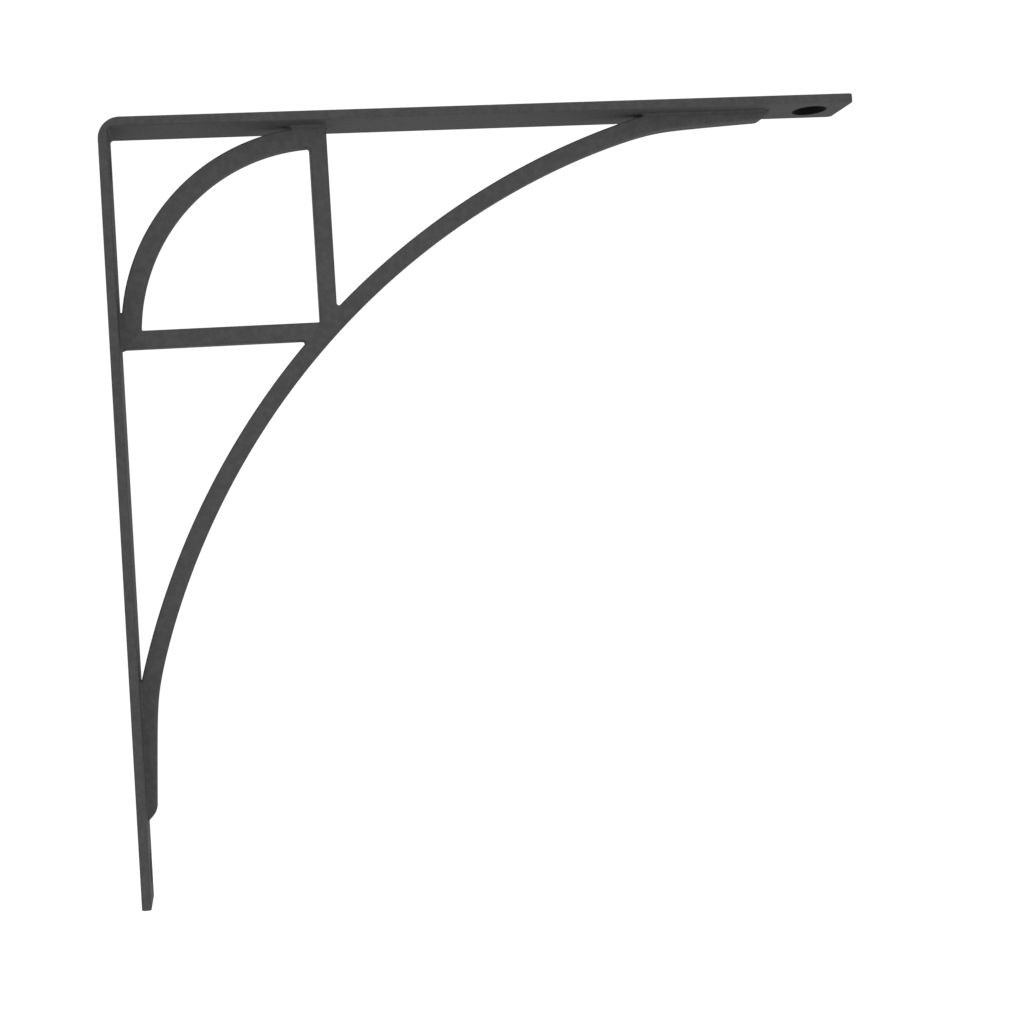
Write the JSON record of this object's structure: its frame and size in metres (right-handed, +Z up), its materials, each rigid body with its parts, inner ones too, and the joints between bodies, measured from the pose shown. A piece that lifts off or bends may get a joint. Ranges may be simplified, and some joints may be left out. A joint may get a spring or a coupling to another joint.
{
  "type": "steel shelf bracket",
  "caption": "Right-angled shelf bracket of flat steel strip, braced by a large arc, a small quarter arc, an upright bar and a cross bar, in charcoal paint, with countersunk screw holes.",
  "frame": {"origin": "on the back face of the wall leg, halfway up it and on the strip's centre line, where it lies on the wall", "axes": "+X away from the wall along the arm, +Y across the strip, +Z up towards the shelf"},
  "size_m": [0.25, 0.02, 0.25],
  "materials": {
    "strip_coating": "dark charcoal matt powder coat on flat steel strip, with fine orange-peel texture and black screw holes",
    "bar_coating": "dark charcoal matt powder coat on square steel bar, slightly thicker over the welds"
  },
  "bodies": {
    "root": {"angle_strip": "strip_coating", "large_arc": "bar_coating", "small_arc": "bar_coating", "upright_bar": "bar_coating", "cross_bar": "bar_coating"}
  },
  "joints": []
}
